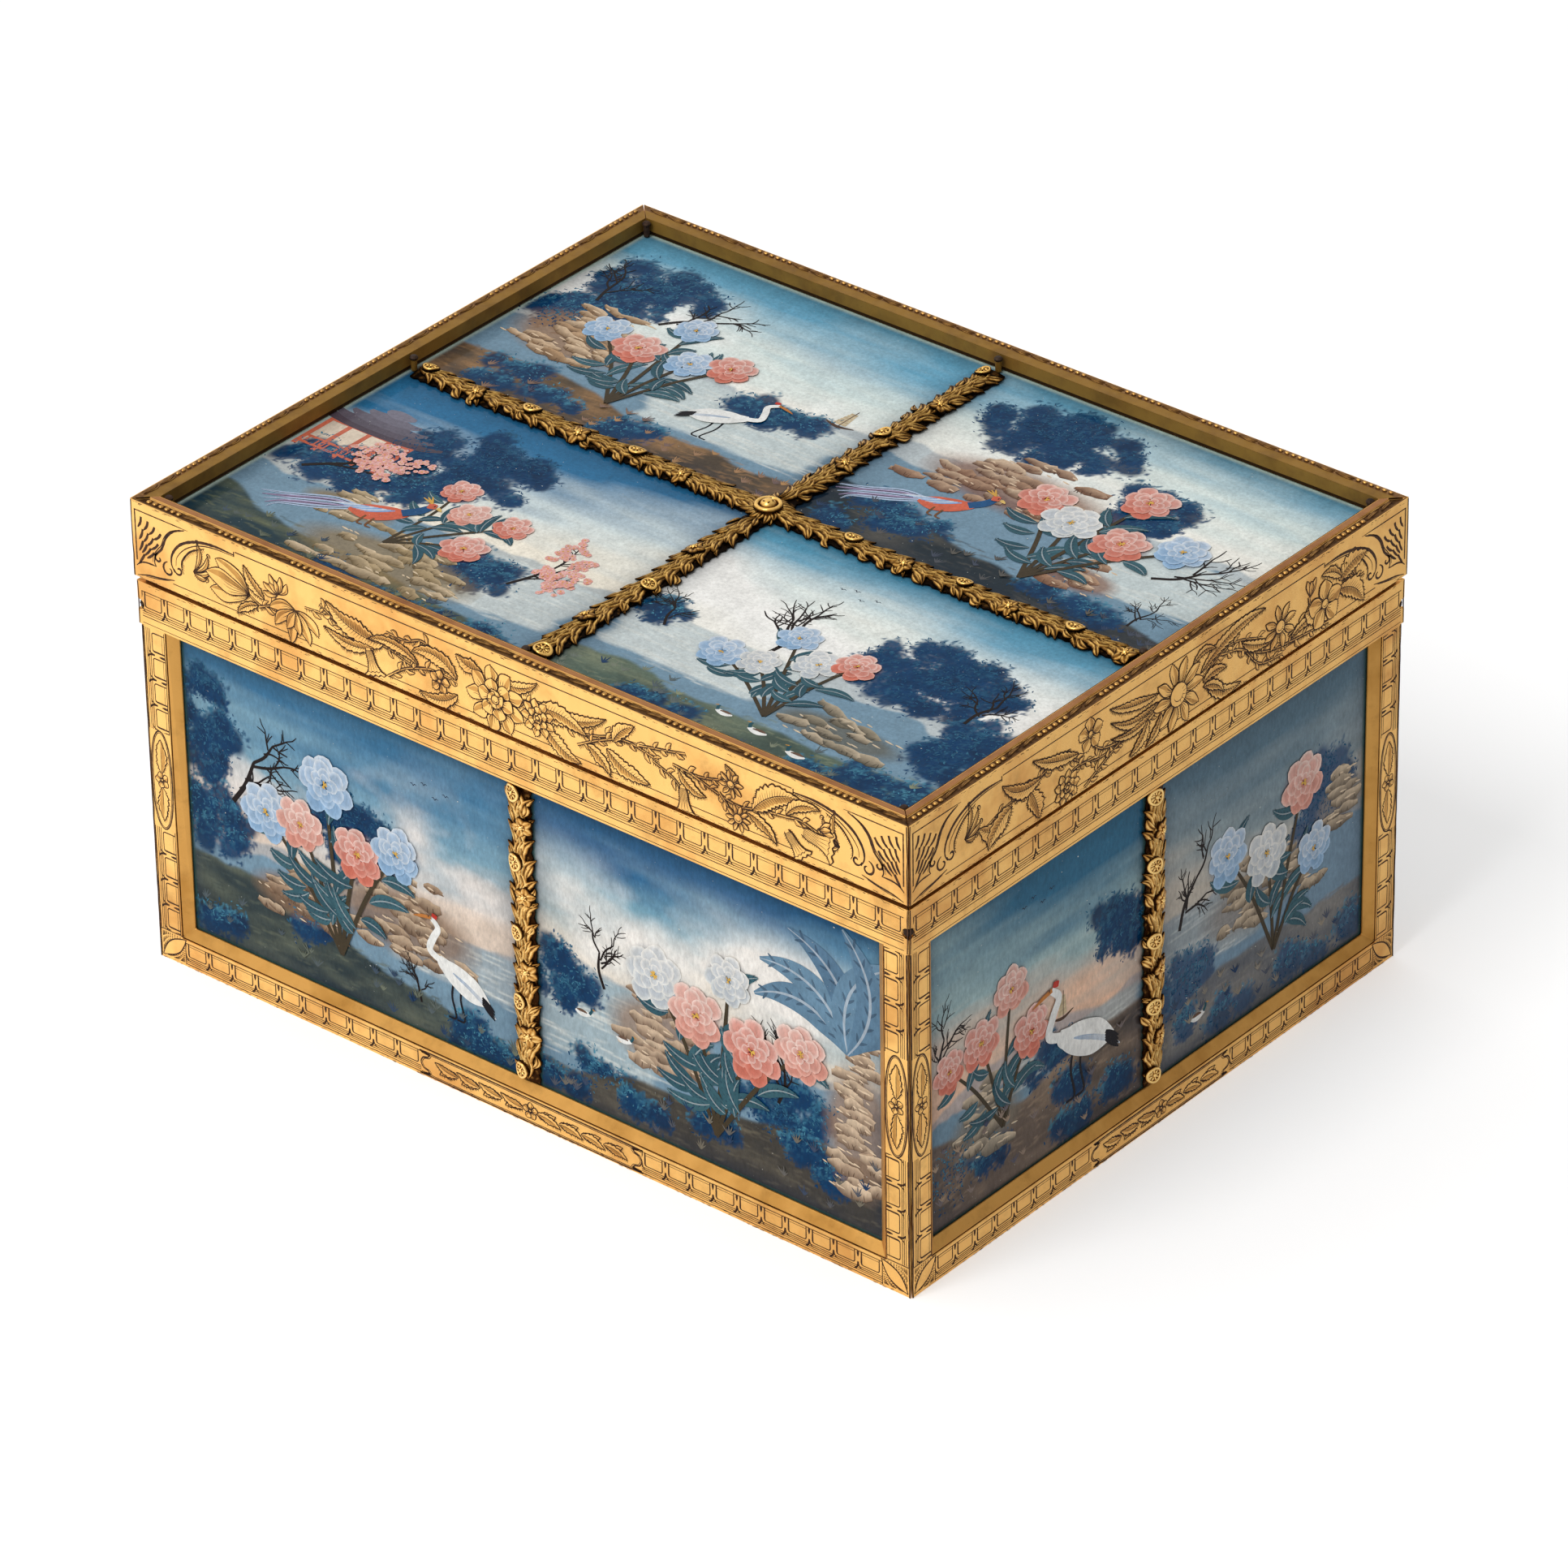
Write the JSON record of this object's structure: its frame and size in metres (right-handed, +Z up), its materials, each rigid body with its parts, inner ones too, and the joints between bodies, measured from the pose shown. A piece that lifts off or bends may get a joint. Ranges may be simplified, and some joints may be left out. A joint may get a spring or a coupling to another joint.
{
  "type": "ormolu casket",
  "caption": "Rectangular keepsake casket with engraved gilt-brass frames, painted glass panels, cast garland strips and a lid hinged along its back.",
  "frame": {"origin": "centre of the flat underside", "axes": "+Z up, +X along the long front towards its right-hand end, +Y towards the back, where the hinges are"},
  "size_m": [0.24, 0.1965, 0.13],
  "materials": {
    "engraved_gilt": "fire-gilt brass, burnished, with dark engraved lines",
    "plain_gilt": "fire-gilt brass, plain and burnished",
    "cast_gilt": "cast and chased gilt brass with dark recesses",
    "painted_glass": "clear glass painted on its back in blue, cream and green",
    "iron": "dark browned iron",
    "hinge_brass": "aged plain brass",
    "carcass_wood": "dark oiled hardwood",
    "lining_velvet": "crimson silk velvet on card"
  },
  "bodies": {
    "base": {"base_board": "carcass_wood", "wooden_carcass": "carcass_wood", "base_lining": "lining_velvet", "front_frame": "engraved_gilt", "front_top_rail": "engraved_gilt", "front_glazing_slip": "plain_gilt", "front_pane_left": "painted_glass", "front_pane_right": "painted_glass", "front_garland": "cast_gilt", "right_frame": "engraved_gilt", "right_top_rail": "engraved_gilt", "right_glazing_slip": "plain_gilt", "right_pane_left": "painted_glass", "right_pane_right": "painted_glass", "right_garland": "cast_gilt", "back_frame": "engraved_gilt", "back_top_rail": "engraved_gilt", "back_glazing_slip": "plain_gilt", "back_pane_left": "painted_glass", "back_pane_right": "painted_glass", "back_garland": "cast_gilt", "left_frame": "engraved_gilt", "left_top_rail": "engraved_gilt", "left_glazing_slip": "plain_gilt", "left_pane_left": "painted_glass", "left_pane_right": "painted_glass", "left_garland": "cast_gilt", "corner_pin_front_left": "iron", "corner_pin_front_right": "iron", "corner_pin_back_left": "iron", "corner_pin_back_right": "iron", "hinge_left_base_leaf": "hinge_brass", "hinge_left_pin": "iron", "hinge_right_base_leaf": "hinge_brass", "hinge_right_pin": "iron"},
    "lid": {"lid_rail_front": "engraved_gilt", "lid_post_front": "iron", "lid_rail_right": "engraved_gilt", "lid_post_right": "iron", "lid_rail_back": "engraved_gilt", "lid_post_back": "iron", "lid_rail_left": "engraved_gilt", "lid_post_left": "iron", "lid_post_front_left": "iron", "lid_pane_front_left": "painted_glass", "lid_post_front_right": "iron", "lid_pane_front_right": "painted_glass", "lid_post_back_left": "iron", "lid_pane_back_left": "painted_glass", "lid_post_back_right": "iron", "lid_pane_back_right": "painted_glass", "lid_garland_long": "cast_gilt", "lid_garland_front": "cast_gilt", "lid_garland_back": "cast_gilt", "lid_centre_boss": "cast_gilt", "lid_wooden_tray": "carcass_wood", "lid_lining": "lining_velvet", "hinge_left_lid_leaf": "hinge_brass", "hinge_right_lid_leaf": "hinge_brass"}
  },
  "joints": [
    {"name": "lid_hinge", "type": "hinge", "parent": "base", "child": "lid", "pos_m": [0, 0.0974, 0.1081], "axis": [-1, 0, 0], "range_deg": [0, 100]}
  ]
}
